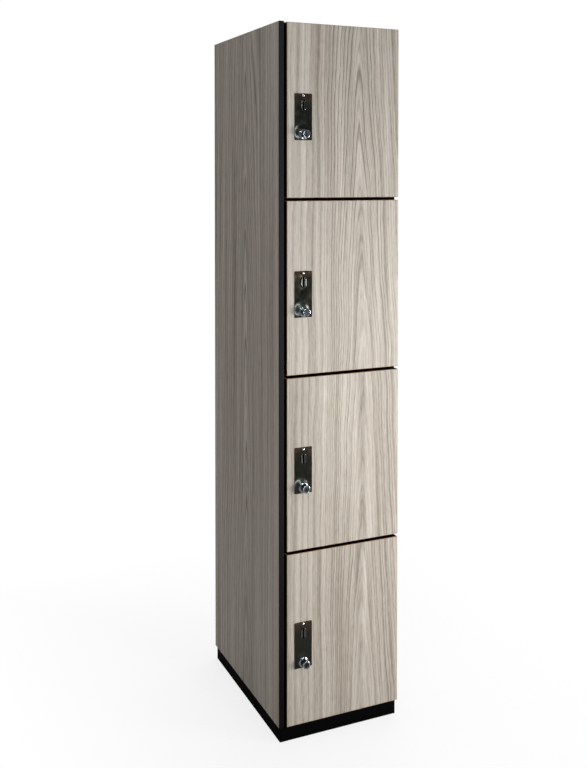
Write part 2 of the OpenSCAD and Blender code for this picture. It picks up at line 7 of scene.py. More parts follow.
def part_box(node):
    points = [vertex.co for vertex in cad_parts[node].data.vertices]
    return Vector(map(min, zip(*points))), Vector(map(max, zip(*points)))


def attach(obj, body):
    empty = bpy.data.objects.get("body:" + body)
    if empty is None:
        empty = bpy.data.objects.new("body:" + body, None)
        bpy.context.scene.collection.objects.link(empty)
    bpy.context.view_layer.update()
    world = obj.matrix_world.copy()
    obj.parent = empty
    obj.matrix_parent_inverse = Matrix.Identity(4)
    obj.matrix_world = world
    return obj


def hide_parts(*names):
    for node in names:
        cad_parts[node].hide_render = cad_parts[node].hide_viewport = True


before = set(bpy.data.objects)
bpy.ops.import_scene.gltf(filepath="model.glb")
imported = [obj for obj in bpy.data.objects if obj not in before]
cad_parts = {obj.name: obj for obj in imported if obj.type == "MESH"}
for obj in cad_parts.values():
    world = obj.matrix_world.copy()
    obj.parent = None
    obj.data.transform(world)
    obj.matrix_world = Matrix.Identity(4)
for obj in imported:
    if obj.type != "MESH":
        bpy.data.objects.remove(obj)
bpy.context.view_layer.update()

# ---------- Camera ----------
# A portrait frame at eye height, left of the column, held nearly level so that
# the cabinet's uprights stay parallel. The frame is shifted down to its foot.
STAND = (-1.0523, -2.2944, 1.3408)
PITCH, HEADING = 90 - 1.32, -24.06
FOCAL_LENGTH, FRAME_SHIFT = 45.28, -0.239

lens = bpy.data.cameras.new("camera")
lens.sensor_fit = "AUTO"
lens.sensor_width = 36
lens.lens = FOCAL_LENGTH
lens.shift_y = FRAME_SHIFT
camera = bpy.data.objects.new("camera", lens)
bpy.context.scene.collection.objects.link(camera)
camera.location = STAND
camera.rotation_euler = (math.radians(PITCH), 0, math.radians(HEADING))
bpy.context.scene.camera = camera
bpy.context.scene.view_settings.view_transform = "Standard"


# ---------- Studio ----------
# A plain pale floor under a white surround, a large soft lamp in front and to the
# right, softer ones above and at the left, and two narrow ones for the metal.
def put(tree, kind, feeds=None, **settings):
    """Adds a shader node and feeds its sockets with values or with other sockets."""
    made = tree.nodes.new("ShaderNode" + kind)
    for name, value in settings.items():
        setattr(made, name, value)
    for socket, value in (feeds or {}).items():
        if isinstance(value, bpy.types.NodeSocket):
            tree.links.new(value, made.inputs[socket])
        else:
            made.inputs[socket].default_value = value
    return made


def calc(tree, operation, *values):
    """The result of a Math node."""
    return put(tree, "Math", dict(enumerate(values)), operation=operation).outputs[0]


def ramp(tree, value, stops):
    """A ramp through (position, grey) or (position, colour) stops."""
    made = put(tree, "ValToRGB", {"Fac": value})
    points = made.color_ramp.elements
    while len(points) < len(stops):
        points.new(0.5)
    for point, (position, colour) in zip(points, stops):
        point.position = position
        point.color = (*colour, 1) if isinstance(colour, tuple) else (colour, colour, colour, 1)
    return made.outputs[0]


def new_finish(name):
    """A material with its tree and its Principled shader."""
    material = bpy.data.materials.new(name)
    material.use_nodes = True
    return material, material.node_tree, material.node_tree.nodes["Principled BSDF"]


def feed(shader, socket, value):
    """Links a changing value to a socket of a shader."""
    shader.id_data.links.new(value, shader.inputs[socket])


def own_place(tree):
    """The place of each point on the object."""
    return put(tree, "TexCoord").outputs["Object"]


AMBIENT, AMBIENT_IN_GLOSS = 0.30, 0.12
FLOOR_GREY = 0.35
FOOT = (0.157, 0.2135, 1)

world = bpy.data.worlds.new("studio")
bpy.context.scene.world = world
world.use_nodes = True
tree = world.node_tree
ray = put(tree, "LightPath").outputs
less = calc(tree, "MULTIPLY", ray["Is Glossy Ray"], AMBIENT - AMBIENT_IN_GLOSS)
light = calc(tree, "SUBTRACT", AMBIENT, less)
surround = tree.nodes["Background"]
feed(surround, "Strength", calc(tree, "MAXIMUM", ray["Is Camera Ray"], light))
surround.inputs["Color"].default_value = (1, 1, 1, 1)

bpy.ops.object.select_all(action="DESELECT")
bpy.ops.mesh.primitive_circle_add(vertices=96, radius=30, fill_type="NGON")
floor = bpy.context.object
floor.name = "floor"
floor_paint, tree, shader = new_finish("floor_paint")
ray = put(tree, "LightPath").outputs["Is Camera Ray"]
feed(shader, "Base Color", ramp(tree, ray, [(0, FLOOR_GREY), (1, 1.0)]))
shader.inputs["Roughness"].default_value = 0.9
shader.inputs["Specular IOR Level"].default_value = 0.1

# The floor brightens to white from the plinth outwards
place = put(tree, "VectorMath", {0: own_place(tree)}, operation="ABSOLUTE").outputs[0]
place = put(tree, "VectorMath", {0: place, 1: FOOT}, operation="DIVIDE").outputs[0]
aside, ahead, _ = put(tree, "SeparateXYZ", {0: place}).outputs
far = calc(tree, "DIVIDE", calc(tree, "MAXIMUM", aside, ahead), 6)
fade = calc(tree, "MULTIPLY", ramp(tree, far, [(0.155, 0), (0.166, 0.8), (0.8, 1)]), ray)
glow = put(tree, "Emission", {"Color": (1, 1, 1, 1), "Strength": 1.0}).outputs[0]
blend = put(tree, "MixShader", {0: fade, 1: shader.outputs[0], 2: glow})
feed(tree.nodes["Material Output"], "Surface", blend.outputs[0])
floor.data.materials.append(floor_paint)


def add_lamp(name, place, aim, size, power, tint, spread=180):
    """A soft rectangular lamp that faces a point."""
    lamp = bpy.data.lights.new(name, "AREA")
    lamp.shape = "RECTANGLE"
    lamp.spread = math.radians(spread)
    lamp.size, lamp.size_y = size
    lamp.energy = power
    lamp.color = tint
    holder = bpy.data.objects.new(name, lamp)
    bpy.context.scene.collection.objects.link(holder)
    holder.location = place
    holder.rotation_euler = (Vector(aim) - Vector(place)).to_track_quat("-Z", "Y").to_euler()


add_lamp("door_lamp", (2.0, -1.9, 0.66), (0, -0.2, 0.66), (1.1, 0.8), 14, (1, 0.965, 0.93), 80)
add_lamp("top_lamp", (0.9, 1.2, 3.4), (0.4, 0.4, 0), (2.0, 2.0), 40, (1, 1, 1))
add_lamp("side_lamp", (-2.6, 0.5, 1.1), (0, 0.2, 0.9), (1.0, 2.0), 6, (1, 0.965, 0.92))
add_lamp("metal_lamp", (-1.1, -1.5, 2.7), (-0.1, -0.2, 1.0), (0.9, 0.3), 7, (0.86, 0.97, 1))
add_lamp("strip_lamp", (0.40, -2.3, 1.0), (-0.1, -0.2, 1.0), (0.14, 1.9), 9, (0.86, 0.97, 1))


# ---------- Doors ----------
# Four overlay doors of 19 mm board with wood grain laminate on both faces and with
# thin black bands on the edges. Each arris has a brown line, partly the laminate's core
# and partly a painted highlight. Each is bored behind for two hinge cups, and pierced for its lock.
MM = 0.001
TIERS = (1, 2, 3, 4)
DOOR_ARRIS = 1.0 * MM
PAST = 2 * MM
CUP_RADIUS, CUP_DEPTH, CUP_IN = 17.65 * MM, 13.15 * MM, 20.5 * MM
CUP_UP = 82 * MM
HOUSING = (17.7 * MM, 9.9 * MM)
BARREL_HOLE = 9.65 * MM
THROAT_HOLE = (2.43 * MM, 12.05 * MM)
SCREW_DOWN = 5 * MM


def settle(name):
    """Names the new object and puts its place and size into its mesh."""
    piece = bpy.context.object
    piece.name = piece.data.name = name
    bpy.ops.object.transform_apply(location=True, rotation=True, scale=True)
    return piece


def add_box(name, low, high):
    bpy.ops.object.select_all(action="DESELECT")
    low, high = Vector(low), Vector(high)
    bpy.ops.mesh.primitive_cube_add(size=1, location=(low + high) / 2, scale=high - low)
    return settle(name)


def add_rod(name, start, end, radius, sides=64):
    bpy.ops.object.select_all(action="DESELECT")
    start, end = Vector(start), Vector(end)
    turn = (end - start).to_track_quat("Z", "Y").to_euler()
    bpy.ops.mesh.primitive_cylinder_add(
        vertices=sides, radius=radius, depth=(end - start).length,
        location=(start + end) / 2, rotation=turn)
    return settle(name)


def shape(piece, kind, **settings):
    """Adds a modifier and applies it."""
    step = piece.modifiers.new("step", kind)
    for name, value in settings.items():
        setattr(step, name, value)
    bpy.context.view_layer.objects.active = piece
    bpy.ops.object.modifier_apply(modifier=step.name)


def join_by(piece, operation, *tools):
    """Cuts a piece with other shapes, or welds them to it, and takes them away."""
    for tool in tools:
        shape(piece, "BOOLEAN", operation=operation, object=tool, solver="EXACT")
        bpy.data.objects.remove(tool)


def soften(piece, width, segments=2, degrees=40, **settings):
    """Rounds every edge that is sharper than the angle."""
    shape(piece, "BEVEL", width=width, segments=segments, limit_method="ANGLE",
          angle_limit=math.radians(degrees), **settings)


def smooth(piece, degrees=30):
    bpy.ops.object.select_all(action="DESELECT")
    piece.select_set(True)
    bpy.context.view_layer.objects.active = piece
    bpy.ops.object.shade_smooth_by_angle(angle=math.radians(degrees))


def for_each_tier(piece, base, body, node, finishes):
    """Copies a piece of the top door to the doors below, each with its own mesh."""
    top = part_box("door_1")[0].z
    piece.name = base + "_1"
    made = [piece]
    for tier in TIERS[1:]:
        copy = bpy.data.objects.new(f"{base}_{tier}", piece.data.copy())
        bpy.context.scene.collection.objects.link(copy)
        copy.data.transform(Matrix.Translation((0, 0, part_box(f"door_{tier}")[0].z - top)))
        made.append(copy)
    for tier, copy in zip(TIERS, made):
        copy.data.name = copy.name
        while len(copy.data.materials) < len(finishes(tier)):
            copy.data.materials.append(None)
        for index, finish in enumerate(finishes(tier)):
            copy.data.materials[index] = finish
        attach(copy, f"{body}_{tier}")
        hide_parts(f"{node}_{tier}")
    return made


def new_group(name, takes, gives):
    """A shader node group with named float and vector sockets."""
    group = bpy.data.node_groups.new(name, "ShaderNodeTree")
    for label, kind in takes:
        group.interface.new_socket(label, in_out="INPUT", socket_type="NodeSocket" + kind)
    for label, kind in gives:
        group.interface.new_socket(label, in_out="OUTPUT", socket_type="NodeSocket" + kind)
    into = group.nodes.new("NodeGroupInput").outputs
    return group, into, group.nodes.new("NodeGroupOutput").inputs


def noise(tree, place, stretch, detail=2, roughness=0.5):
    """Noise whose cells are 1 / stretch metres along each axis, about 0.5."""
    scaled = put(tree, "VectorMath", {0: place, 1: stretch}, operation="MULTIPLY").outputs[0]
    return put(tree, "TexNoise", {"Vector": scaled, "Scale": 1, "Detail": detail,
                                  "Roughness": roughness}).outputs[0]


# Flat sawn grain round a heart: nested arches at the heart, dark crowded lines on one
# side of it, wide soft bands further off, fine fibres and short pores over all.
grain, takes, gives = new_group("wood_grain", [("Place", "Vector")],
                                [("Tone", "Float"), ("Pores", "Float")])
place = takes["Place"]
across, through, along = put(grain, "SeparateXYZ", {0: place}).outputs
wander = calc(grain, "MULTIPLY_ADD", noise(grain, place, (0, 3, 2.2)), 0.036, -0.018)
ripple = calc(grain, "MULTIPLY_ADD", noise(grain, place, (26, 3, 6), 3), 0.013, -0.0065)
off_heart = calc(grain, "ADD", calc(grain, "ADD", across, wander), ripple)
ring = calc(grain, "SQRT", calc(grain, "ADD", calc(grain, "MULTIPLY", off_heart, off_heart), 2e-4))
taper = put(grain, "MapRange", interpolation_type="SMOOTHSTEP", feeds={
    "Value": off_heart, "From Min": -0.13, "From Max": -0.01, "To Max": 0.055}).outputs[0]
cone = calc(grain, "MULTIPLY_ADD", along, taper, ring)
zone = calc(grain, "MULTIPLY_ADD", off_heart, 3.125, 0.625)
# Three sets of lines, as (spacing, offset, share of the dark, where off the heart)
LINE_SETS = (
    (0.0172, 0.3, 0.42, [(0, 0.75), (0.3, 0.8), (0.45, 0.35), (0.66, 0.75), (0.8, 1)]),
    (0.0074, 0.0, 0.70, [(0, 0.25), (0.3, 0.35), (0.4, 1), (0.58, 0.95), (0.67, 0.7), (0.95, 0.6)]),
    (0.0038, 0.5, 0.38, [(0, 0.5), (0.3, 0.6), (0.4, 1), (0.6, 0.9), (0.67, 0.7), (0.95, 0.8)]))
lines = None
for spacing, offset, share, where in LINE_SETS:
    count = calc(grain, "MULTIPLY_ADD", cone, 1 / spacing, offset)
    line = ramp(grain, calc(grain, "FRACT", count), [(0, 0), (0.5, 0), (0.84, 1), (1, 0)])
    ring_number = calc(grain, "FLOOR", count)
    own = put(grain, "TexWhiteNoise", {"W": ring_number}, noise_dimensions="1D").outputs[0]
    depth = calc(grain, "MULTIPLY", calc(grain, "MULTIPLY_ADD", own, 0.75, 0.25), share)
    layer = calc(grain, "MULTIPLY", calc(grain, "MULTIPLY", line, depth), ramp(grain, zone, where))
    lines = layer if lines is None else calc(grain, "ADD", lines, layer)
bands = calc(grain, "MULTIPLY_ADD", noise(grain, place, (55, 5, 0.9), 2), 1.15, -0.575)
fibres = calc(grain, "MULTIPLY_ADD", noise(grain, place, (420, 60, 30), 4, 0.65), 0.85, -0.425)
pores = ramp(grain, noise(grain, place, (1300, 90, 75), 1), [(0.56, 0), (0.66, 1)])
pores = calc(grain, "MULTIPLY", pores, calc(grain, "MULTIPLY_ADD", lines, 1.2, 0.25))
tone = calc(grain, "SUBTRACT", calc(grain, "ADD", calc(grain, "ADD", bands, fibres), 0.65), lines)
grain.links.new(calc(grain, "MULTIPLY_ADD", pores, -0.35, tone), gives["Tone"])
grain.links.new(pores, gives["Pores"])

LAMINATE = [(0.0, (0.265, 0.218, 0.175)), (0.3, (0.400, 0.347, 0.293)),
            (0.58, (0.533, 0.474, 0.413)), (0.95, (0.700, 0.636, 0.570))]


def grain_at(tree, heart, turn=(0, 0, 0)):
    """The grain's place and its outputs, with the heart at a point."""
    place = put(tree, "Mapping", {"Vector": own_place(tree), "Location": heart, "Rotation": turn},
                vector_type="TEXTURE").outputs[0]
    wood = put(tree, "Group", node_tree=grain)
    tree.links.new(place, wood.inputs["Place"])
    return place, wood.outputs


def bumped(shader, height, strength, distance):
    """Gives a shader's surface a fine relief."""
    bump = put(shader.id_data, "Bump",
               {"Height": height, "Strength": strength, "Distance": distance})
    feed(shader, "Normal", bump.outputs[0])
    return bump


def grained(name, heart, turn=(0, 0, 0)):
    """Laminate whose grain runs upright, its heart at a point, turned if need be."""
    material, tree, shader = new_finish(name)
    place, wood = grain_at(tree, heart, turn)
    feed(shader, "Base Color", ramp(tree, wood["Tone"], LAMINATE))
    gloss = calc(tree, "MULTIPLY_ADD", noise(tree, place, (14, 14, 9), 4, 0.6), 0.16, 0.38)
    feed(shader, "Roughness", calc(tree, "MULTIPLY_ADD", wood["Pores"], 0.12, gloss))
    bumped(shader, calc(tree, "MULTIPLY_ADD", wood["Pores"], -1.0, wood["Tone"]), 0.35, 0.00025)
    return material


# A brown colour for the arrises: partly the laminate's core, partly a painted highlight where light
# catches the edge
CORE_AND_HIGHLIGHT = [(0.3, (0.30, 0.15, 0.075)), (0.7, (0.50, 0.27, 0.14))]
core_and_highlight, tree, shader = new_finish("laminate_core_painted_highlight")
feed(shader, "Base Color", ramp(tree, noise(tree, own_place(tree), (300, 300, 300), 4), CORE_AND_HIGHLIGHT))
shader.inputs["Roughness"].default_value = 0.62


def black(name, stops, gloss):
    """Black banding or paint, scuffed, that goes from one black to another upwards; on the end band
    this change is painted sheen above and painted shade below.
    """
    material, tree, shader = new_finish(name)
    place = own_place(tree)
    up = put(tree, "SeparateXYZ", {0: place}).outputs["Z"]
    scuff = noise(tree, place, (90, 90, 25), 4, 0.6)
    level = calc(tree, "MULTIPLY_ADD", scuff, 0.2, calc(tree, "MULTIPLY_ADD", up, 0.58, -0.1))
    feed(shader, "Base Color", ramp(tree, level, stops))
    feed(shader, "Roughness", calc(tree, "MULTIPLY_ADD", scuff, 0.3, 0.4))
    bumped(shader, noise(tree, place, (900, 900, 900), 2), 0.2, 0.0001)
    shader.inputs["Specular IOR Level"].default_value = gloss
    return material


door_edge = black("door_edge_black", [
    (0, (0.0008, 0.0008, 0.0009)), (1, (0.0016, 0.0017, 0.0022))], 0.06)

# Chips of wood pressed with glue, seen where a board is bored or left raw
CHIPS = [(0.2, (0.16, 0.09, 0.045)), (0.5, (0.40, 0.27, 0.15)), (0.85, (0.62, 0.47, 0.30))]
chipboard, tree, shader = new_finish("chipboard")
place = own_place(tree)
chips = put(tree, "TexVoronoi", {"Vector": place, "Scale": 620}).outputs["Color"]
mixed = calc(tree, "MULTIPLY_ADD", noise(tree, place, (240, 240, 240), 4, 0.7), 0.7,
             calc(tree, "MULTIPLY", chips, 0.35))
feed(shader, "Base Color", ramp(tree, mixed, CHIPS))
bumped(shader, mixed, 0.6, 0.0004)
shader.inputs["Roughness"].default_value = 0.85

low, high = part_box("door_1")
plate_low, plate_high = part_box("lock_plate_1")
barrel_low, barrel_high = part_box("lock_cylinder_1")
slot_low, slot_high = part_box("coin_slot_1")
plug_at = (barrel_low + barrel_high) / 2
slot_at = (slot_low + slot_high) / 2
screw_at = Vector((plug_at.x, low.y, plate_high.z - SCREW_DOWN))

GRAIN_SHIFT = {1: 0.05, 2: 0.42, 3: 0.78, 4: 0.58}
HEART, SHEET_STEP = low.x + 0.2, 0.9
door_faces = {}
for tier in TIERS:
    heart = (HEART, tier * SHEET_STEP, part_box(f"door_{tier}")[0].z + GRAIN_SHIFT[tier])
    door_faces[tier] = grained(f"door_laminate_{tier}", heart)

door = add_box("door_panel_1", low, high)
for finish in (door_faces[1], core_and_highlight, chipboard, door_edge):
    door.data.materials.append(finish)
# The arris bevels take material 1: the core colour with its painted highlight
soften(door, DOOR_ARRIS, 1, material=1)


def throat_tool(start, end):
    return add_box("throat_bore", (slot_at.x - THROAT_HOLE[0], start, slot_at.z - THROAT_HOLE[1]),
                   (slot_at.x + THROAT_HOLE[0], end, slot_at.z + THROAT_HOLE[1]))


def barrel_tool(start, end):
    return add_rod("barrel_bore", (plug_at.x, start, plug_at.z), (plug_at.x, end, plug_at.z),
                   BARREL_HOLE)


tools = []
for z in (low.z + CUP_UP, high.z - CUP_UP):
    x, bottom, open_end = high.x - CUP_IN, high.y - CUP_DEPTH, high.y + PAST
    tools.append(add_rod("cup_bore", (x, bottom, z), (x, open_end, z), CUP_RADIUS))
    tools.append(add_box("housing_bore", (x, bottom, z - HOUSING[1]),
                         (x + HOUSING[0], open_end, z + HOUSING[1])))
tools.append(barrel_tool(low.y - PAST, high.y + PAST))
tools.append(throat_tool(low.y - PAST, high.y + PAST))
join_by(door, "DIFFERENCE", *tools)
for face in door.data.polygons:
    middle = face.center
    from_edge = min(middle.x - low.x, high.x - middle.x, middle.z - low.z, high.z - middle.z)
    from_face = min(middle.y - low.y, high.y - middle.y)
    if from_edge > MM and from_face > 0.1 * MM:
        face.material_index = 2
    elif face.material_index == 0 and abs(face.normal.y) < 0.1:
        face.material_index = 3
for_each_tier(door, "door_panel", "door", "door",
              lambda tier: [door_faces[tier], core_and_highlight, chipboard, door_edge])


# ---------- Locks: face plates ----------
# Polished steel plates, blackened and lacquered, with a low swell pressed in round the
# barrel and rounded edges. One screw at the top and the barrel's boss hold each one.
PLATE_CORNER, PLATE_ARRIS = 2 * MM, 0.35 * MM
SWELL_RISE, SWELL_REACH = 2.6 * MM, 23 * MM
SWELL_OFF = Vector((-4 * MM, 0, 5 * MM))
SWELL_STEPS = 18
PROUD = Vector((0, 9 * MM, 0))
SCREW_HOLE = 1.65 * MM
PLATE_TONES_UPWARD = [(0, (0.056, 0.062, 0.060)), (0.3, (0.060, 0.062, 0.052)),
             (0.75, (0.068, 0.063, 0.050)), (1, (0.150, 0.105, 0.072))]


def opened(piece, kind):
    """Opens a piece in edit mode, with none of its parts selected."""
    bpy.ops.object.select_all(action="DESELECT")
    bpy.context.view_layer.objects.active = piece
    piece.select_set(True)
    bpy.ops.object.mode_set(mode="EDIT")
    bpy.ops.mesh.select_mode(type=kind)
    bpy.ops.mesh.select_all(action="DESELECT")
    return bmesh.from_edit_mesh(piece.data)


def bevelled(piece, width, segments):
    """Rounds the selected edges of an open piece and closes it."""
    bmesh.update_edit_mesh(piece.data)
    bpy.ops.mesh.bevel(offset=width, segments=segments, affect="EDGES")
    bpy.ops.object.mode_set(mode="OBJECT")


def add_plate(name, low, high, corner):
    """A box that stands in the plane of the doors, with round corners."""
    plate = add_box(name, low, high)
    for edge in opened(plate, "EDGE").edges:
        run = edge.verts[0].co - edge.verts[1].co
        edge.select_set(abs(run.y) > 0.9 * run.length)
    bevelled(plate, corner, 6)
    return plate


def turned(name, middle, rings, sides=72, closed_loop=False):
    """Turned about an axis from front to back: rings are (radius, y) along the section."""
    bpy.ops.object.select_all(action="DESELECT")
    radius, y = rings[0]
    bpy.ops.mesh.primitive_circle_add(
        vertices=sides, radius=radius, fill_type="NOTHING",
        location=(middle.x, y, middle.z), rotation=(math.pi / 2, 0, 0))
    piece = settle(name)
    bpy.ops.object.mode_set(mode="EDIT")
    bpy.ops.mesh.select_mode(type="EDGE")
    bpy.ops.mesh.select_all(action="SELECT")
    for next_radius, next_y in rings[1:] + (rings[:1] if closed_loop else []):
        bpy.ops.mesh.extrude_region_move(TRANSFORM_OT_translate={"value": (0, next_y - y, 0)})
        grow = next_radius / radius
        bpy.ops.transform.resize(value=(grow, 1, grow),
                                 center_override=(middle.x, next_y, middle.z))
        radius, y = next_radius, next_y
    bpy.ops.mesh.select_all(action="SELECT")
    bpy.ops.mesh.remove_doubles(threshold=1e-7)
    if not closed_loop:
        bpy.ops.mesh.fill_holes(sides=0)
    bpy.ops.mesh.select_all(action="SELECT")
    bpy.ops.mesh.normals_make_consistent(inside=False)
    bpy.ops.object.mode_set(mode="OBJECT")
    return piece


def even(piece):
    """Lets the large flat faces keep their own normals beside small round ones."""
    shape(piece, "WEIGHTED_NORMAL", weight=80, keep_sharp=True)


plate = add_plate("face_plate_1", plate_low, plate_high, PLATE_CORNER)
bell = []
for step in range(SWELL_STEPS, 2, -1):
    out = step / SWELL_STEPS
    rise = SWELL_RISE * math.cos(math.pi / 2 * out) ** 2
    bell.append((SWELL_REACH * out, plate_low.y + 0.01 * MM - rise))
swell = turned("swell", plug_at + SWELL_OFF, [(SWELL_REACH, plate_high.y - 0.5 * MM)] + bell)
trim = add_plate("trim", plate_low - PROUD, plate_high, PLATE_CORNER)
join_by(swell, "INTERSECT", trim)
join_by(plate, "UNION", swell)
join_by(plate, "DIFFERENCE", barrel_tool(plate_low.y - PROUD.y, plate_high.y + MM),
        throat_tool(plate_low.y - MM, plate_high.y + MM),
        add_rod("screw_bore", screw_at - PROUD, screw_at + PROUD, SCREW_HOLE, 24))
soften(plate, PLATE_ARRIS, 3, 60)
smooth(plate, 30)
even(plate)

# Fine polishing lines, smears from hands, and small scratches, for metal
metal_wear, takes, gives = new_group("metal_wear", [("Place", "Vector")],
                                     [("Smear", "Float"), ("Scratch", "Float")])
smear = noise(metal_wear, takes["Place"], (45, 45, 45), 5, 0.6)
metal_wear.links.new(ramp(metal_wear, smear, [(0.36, 0), (0.68, 1)]), gives["Smear"])
marks = None
for stretch in ((1500, 1500, 60), (90, 1800, 1600)):
    layer = noise(metal_wear, takes["Place"], stretch, 3)
    layer = ramp(metal_wear, layer, [(0.62, 0), (0.80, 0.6)])
    marks = layer if marks is None else calc(metal_wear, "MAXIMUM", marks, layer)
metal_wear.links.new(marks, gives["Scratch"])


def metal(name, colour, roughness, smeared=0.12, scratched=0.25):
    """A metal whose gloss and colour are broken by smears, and by fine scratches."""
    material, tree, shader = new_finish(name)
    wear = put(tree, "Group", node_tree=metal_wear)
    tree.links.new(own_place(tree), wear.inputs["Place"])
    smear, scratch = wear.outputs["Smear"], wear.outputs["Scratch"]
    if colour:
        dark, light = tuple(0.82 * c for c in colour), tuple(min(1, 1.08 * c) for c in colour)
        feed(shader, "Base Color", ramp(tree, smear, [(0, light), (1, dark)]))
    gloss = calc(tree, "MULTIPLY_ADD", smear, smeared, roughness)
    feed(shader, "Roughness", calc(tree, "MULTIPLY_ADD", scratch, scratched, gloss))
    bumped(shader, scratch, 0.12, 0.00005).invert = True
    shader.inputs["Metallic"].default_value = 1
    return material


# The plate's colour, the same on each tier: dark grey-green over most of it, lighter and browner
# towards its top
plate_finish = metal("lock_plate_polished", None, 0.11)
tree = plate_finish.node_tree
up = put(tree, "SeparateXYZ", {0: own_place(tree)}).outputs["Z"]
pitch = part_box("door_1")[0].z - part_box("door_2")[0].z
lowest = calc(tree, "SUBTRACT", up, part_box("lock_plate_4")[0].z)
level = calc(tree, "FRACT", calc(tree, "DIVIDE", lowest, pitch))
level = calc(tree, "DIVIDE", level, (plate_high.z - plate_low.z) / pitch)
feed(tree.nodes["Principled BSDF"], "Base Color", ramp(tree, level, PLATE_TONES_UPWARD))
for_each_tier(plate, "face_plate", "door", "lock_plate",
              lambda tier: [plate_finish])


# ---------- Locks: coin slot bezels ----------
# Chromed oval castings with a dished face. A square throat behind the face passes
# through the plate and the door, and guides the coin into the lock.
BEZEL_EDGE, BEZEL_RIM, BEZEL_DISH = 0.8 * MM, 1.3 * MM, 2.0 * MM
DISH_WALL = 1.3 * MM
SLOT = (2.55 / 2 * MM, 21.8 / 2 * MM)
THROAT = (SLOT[0] + MM, SLOT[1] + MM)
SLOT_FLARE, FLARE_WIDER = 0.9 * MM, 1.6

radius = (slot_high.x - slot_low.x) / 2
rise = (slot_high.z - slot_low.z) / 2 - radius
bpy.ops.object.select_all(action="DESELECT")
bpy.ops.mesh.primitive_cylinder_add(
    vertices=62, radius=radius, depth=plate_low.y - slot_low.y,
    location=(slot_at.x, (plate_low.y + slot_low.y) / 2, slot_at.z), rotation=(math.pi / 2, 0, 0))
bezel = settle("bezel_1")
for half in (-1, 1):
    for edge in opened(bezel, "EDGE").edges:
        edge.select_set(all((end.co.z - slot_at.z > -1e-7) == (half > 0) for end in edge.verts))
    bmesh.update_edit_mesh(bezel.data)
    bpy.ops.transform.translate(value=(0, 0, half * rise))
    bpy.ops.object.mode_set(mode="OBJECT")
for edge in opened(bezel, "EDGE").edges:
    edge.select_set(all(end.co.y < slot_low.y + 1e-6 for end in edge.verts))
bevelled(bezel, BEZEL_EDGE, 5)


def pick_faces(piece, wanted):
    """Opens a piece and selects the faces whose middle and normal pass a test."""
    for face in opened(piece, "FACE").faces:
        face.select_set(wanted(face.calc_center_median(), face.normal))
    bmesh.update_edit_mesh(piece.data)


pick_faces(bezel, lambda middle, normal: normal.y < -0.99 and middle.y < slot_low.y + 1e-5)
bpy.ops.mesh.inset(thickness=BEZEL_RIM - BEZEL_EDGE)
bpy.ops.mesh.inset(thickness=DISH_WALL)
bpy.ops.transform.translate(value=(0, BEZEL_DISH, 0))
bpy.ops.object.mode_set(mode="OBJECT")
join_by(bezel, "UNION", add_box(
    "throat", (slot_at.x - THROAT[0], plate_low.y - MM, slot_at.z - THROAT[1]),
    (slot_at.x + THROAT[0], slot_high.y, slot_at.z + THROAT[1])))
mouth = add_box("mouth", (slot_at.x - SLOT[0], slot_low.y - 0.1 * MM, slot_at.z - SLOT[1]),
                (slot_at.x + SLOT[0], slot_low.y + BEZEL_DISH + SLOT_FLARE, slot_at.z + SLOT[1]))
pick_faces(mouth, lambda middle, normal: normal.y < -0.99)
wider = [1 + FLARE_WIDER * SLOT_FLARE / half for half in SLOT]
bpy.ops.transform.resize(value=(wider[0], 1, wider[1]), center_override=slot_at)
bpy.ops.object.mode_set(mode="OBJECT")
join_by(bezel, "DIFFERENCE", mouth,
        add_box("slot", (slot_at.x - SLOT[0], slot_low.y - PAST, slot_at.z - SLOT[1]),
                (slot_at.x + SLOT[0], slot_high.y + MM, slot_at.z + SLOT[1])))
smooth(bezel, 35)
chrome = metal("lock_chrome", (0.62, 0.655, 0.69), 0.07, 0.10, 0.18)
smoked_chrome = metal("smoked_chrome", (0.24, 0.26, 0.26), 0.09, 0.10, 0.18)
for_each_tier(bezel, "bezel", "door", "coin_slot", lambda tier: [smoked_chrome])


# ---------- Locks: barrels and plugs ----------
# Each barrel is turned from brass with its domed boss in one piece, bored for the plug
# and chromed. The steel plug turns in it, with a warded keyway, and drives the cam.
BORE, BARREL, BOSS = 6.55, 9.5, 13.0
DOME_TURNS, LIP_TURNS = (0.25, 0.5, 0.75, 1.0, 1.25, 1.45), (0.4, 0.8, 1.2, 1.57)

# The section, as (radius, distance in front of the plate or behind the tip) in mm
front, tip = plate_low.y, barrel_low.y
boss = [(BOSS, 0), (12.95, 0.5)]
boss += [(9.6 + 3.3 * math.cos(a), 0.6 + 3.2 * math.sin(a)) for a in DOME_TURNS]
boss += [(9.35, 3.95), (9.35, 4.3), (BARREL, 4.5)]
nose = [(BARREL, 3.2), (9.2, 2.9), (9.2, 2.4), (BARREL, 2.1), (BARREL, 1.0)]
nose += [(8.5 + math.cos(a), 1 - math.sin(a)) for a in LIP_TURNS]
nose += [(7.6, 0), (7.1, 0.5), (BORE, 0.5)]
sections = [(BORE, barrel_high.y), (BARREL, barrel_high.y), (BARREL, front)]
sections += [(radius, front - out * MM) for radius, out in boss]
sections += [(radius, tip + back * MM) for radius, back in nose]
rings = [(radius * MM, y) for radius, y in sections]
barrel = turned("barrel_1", plug_at, rings, closed_loop=True)
smooth(barrel, 25)
for_each_tier(barrel, "barrel", "door", "lock_cylinder", lambda tier: [chrome])

PLUG_RADIUS, PLUG_EDGE, PLUG_IN = 6.5 * MM, 0.4 * MM, 0.6 * MM
CAM_RADIUS, CAM_PIN, CAM_PIN_AT = 11.985 * MM, 2 * MM, 6 * MM
CAM_BEHIND = (8 * MM, 11 * MM, 16.5 * MM)
KEYWAY_DEEP = 14 * MM
KEYWAY = ((-1.0, 0.7, -4.25, -1.1), (-0.5, 1.2, -1.3, 1.6), (-1.2, 0.5, 1.4, 4.25))

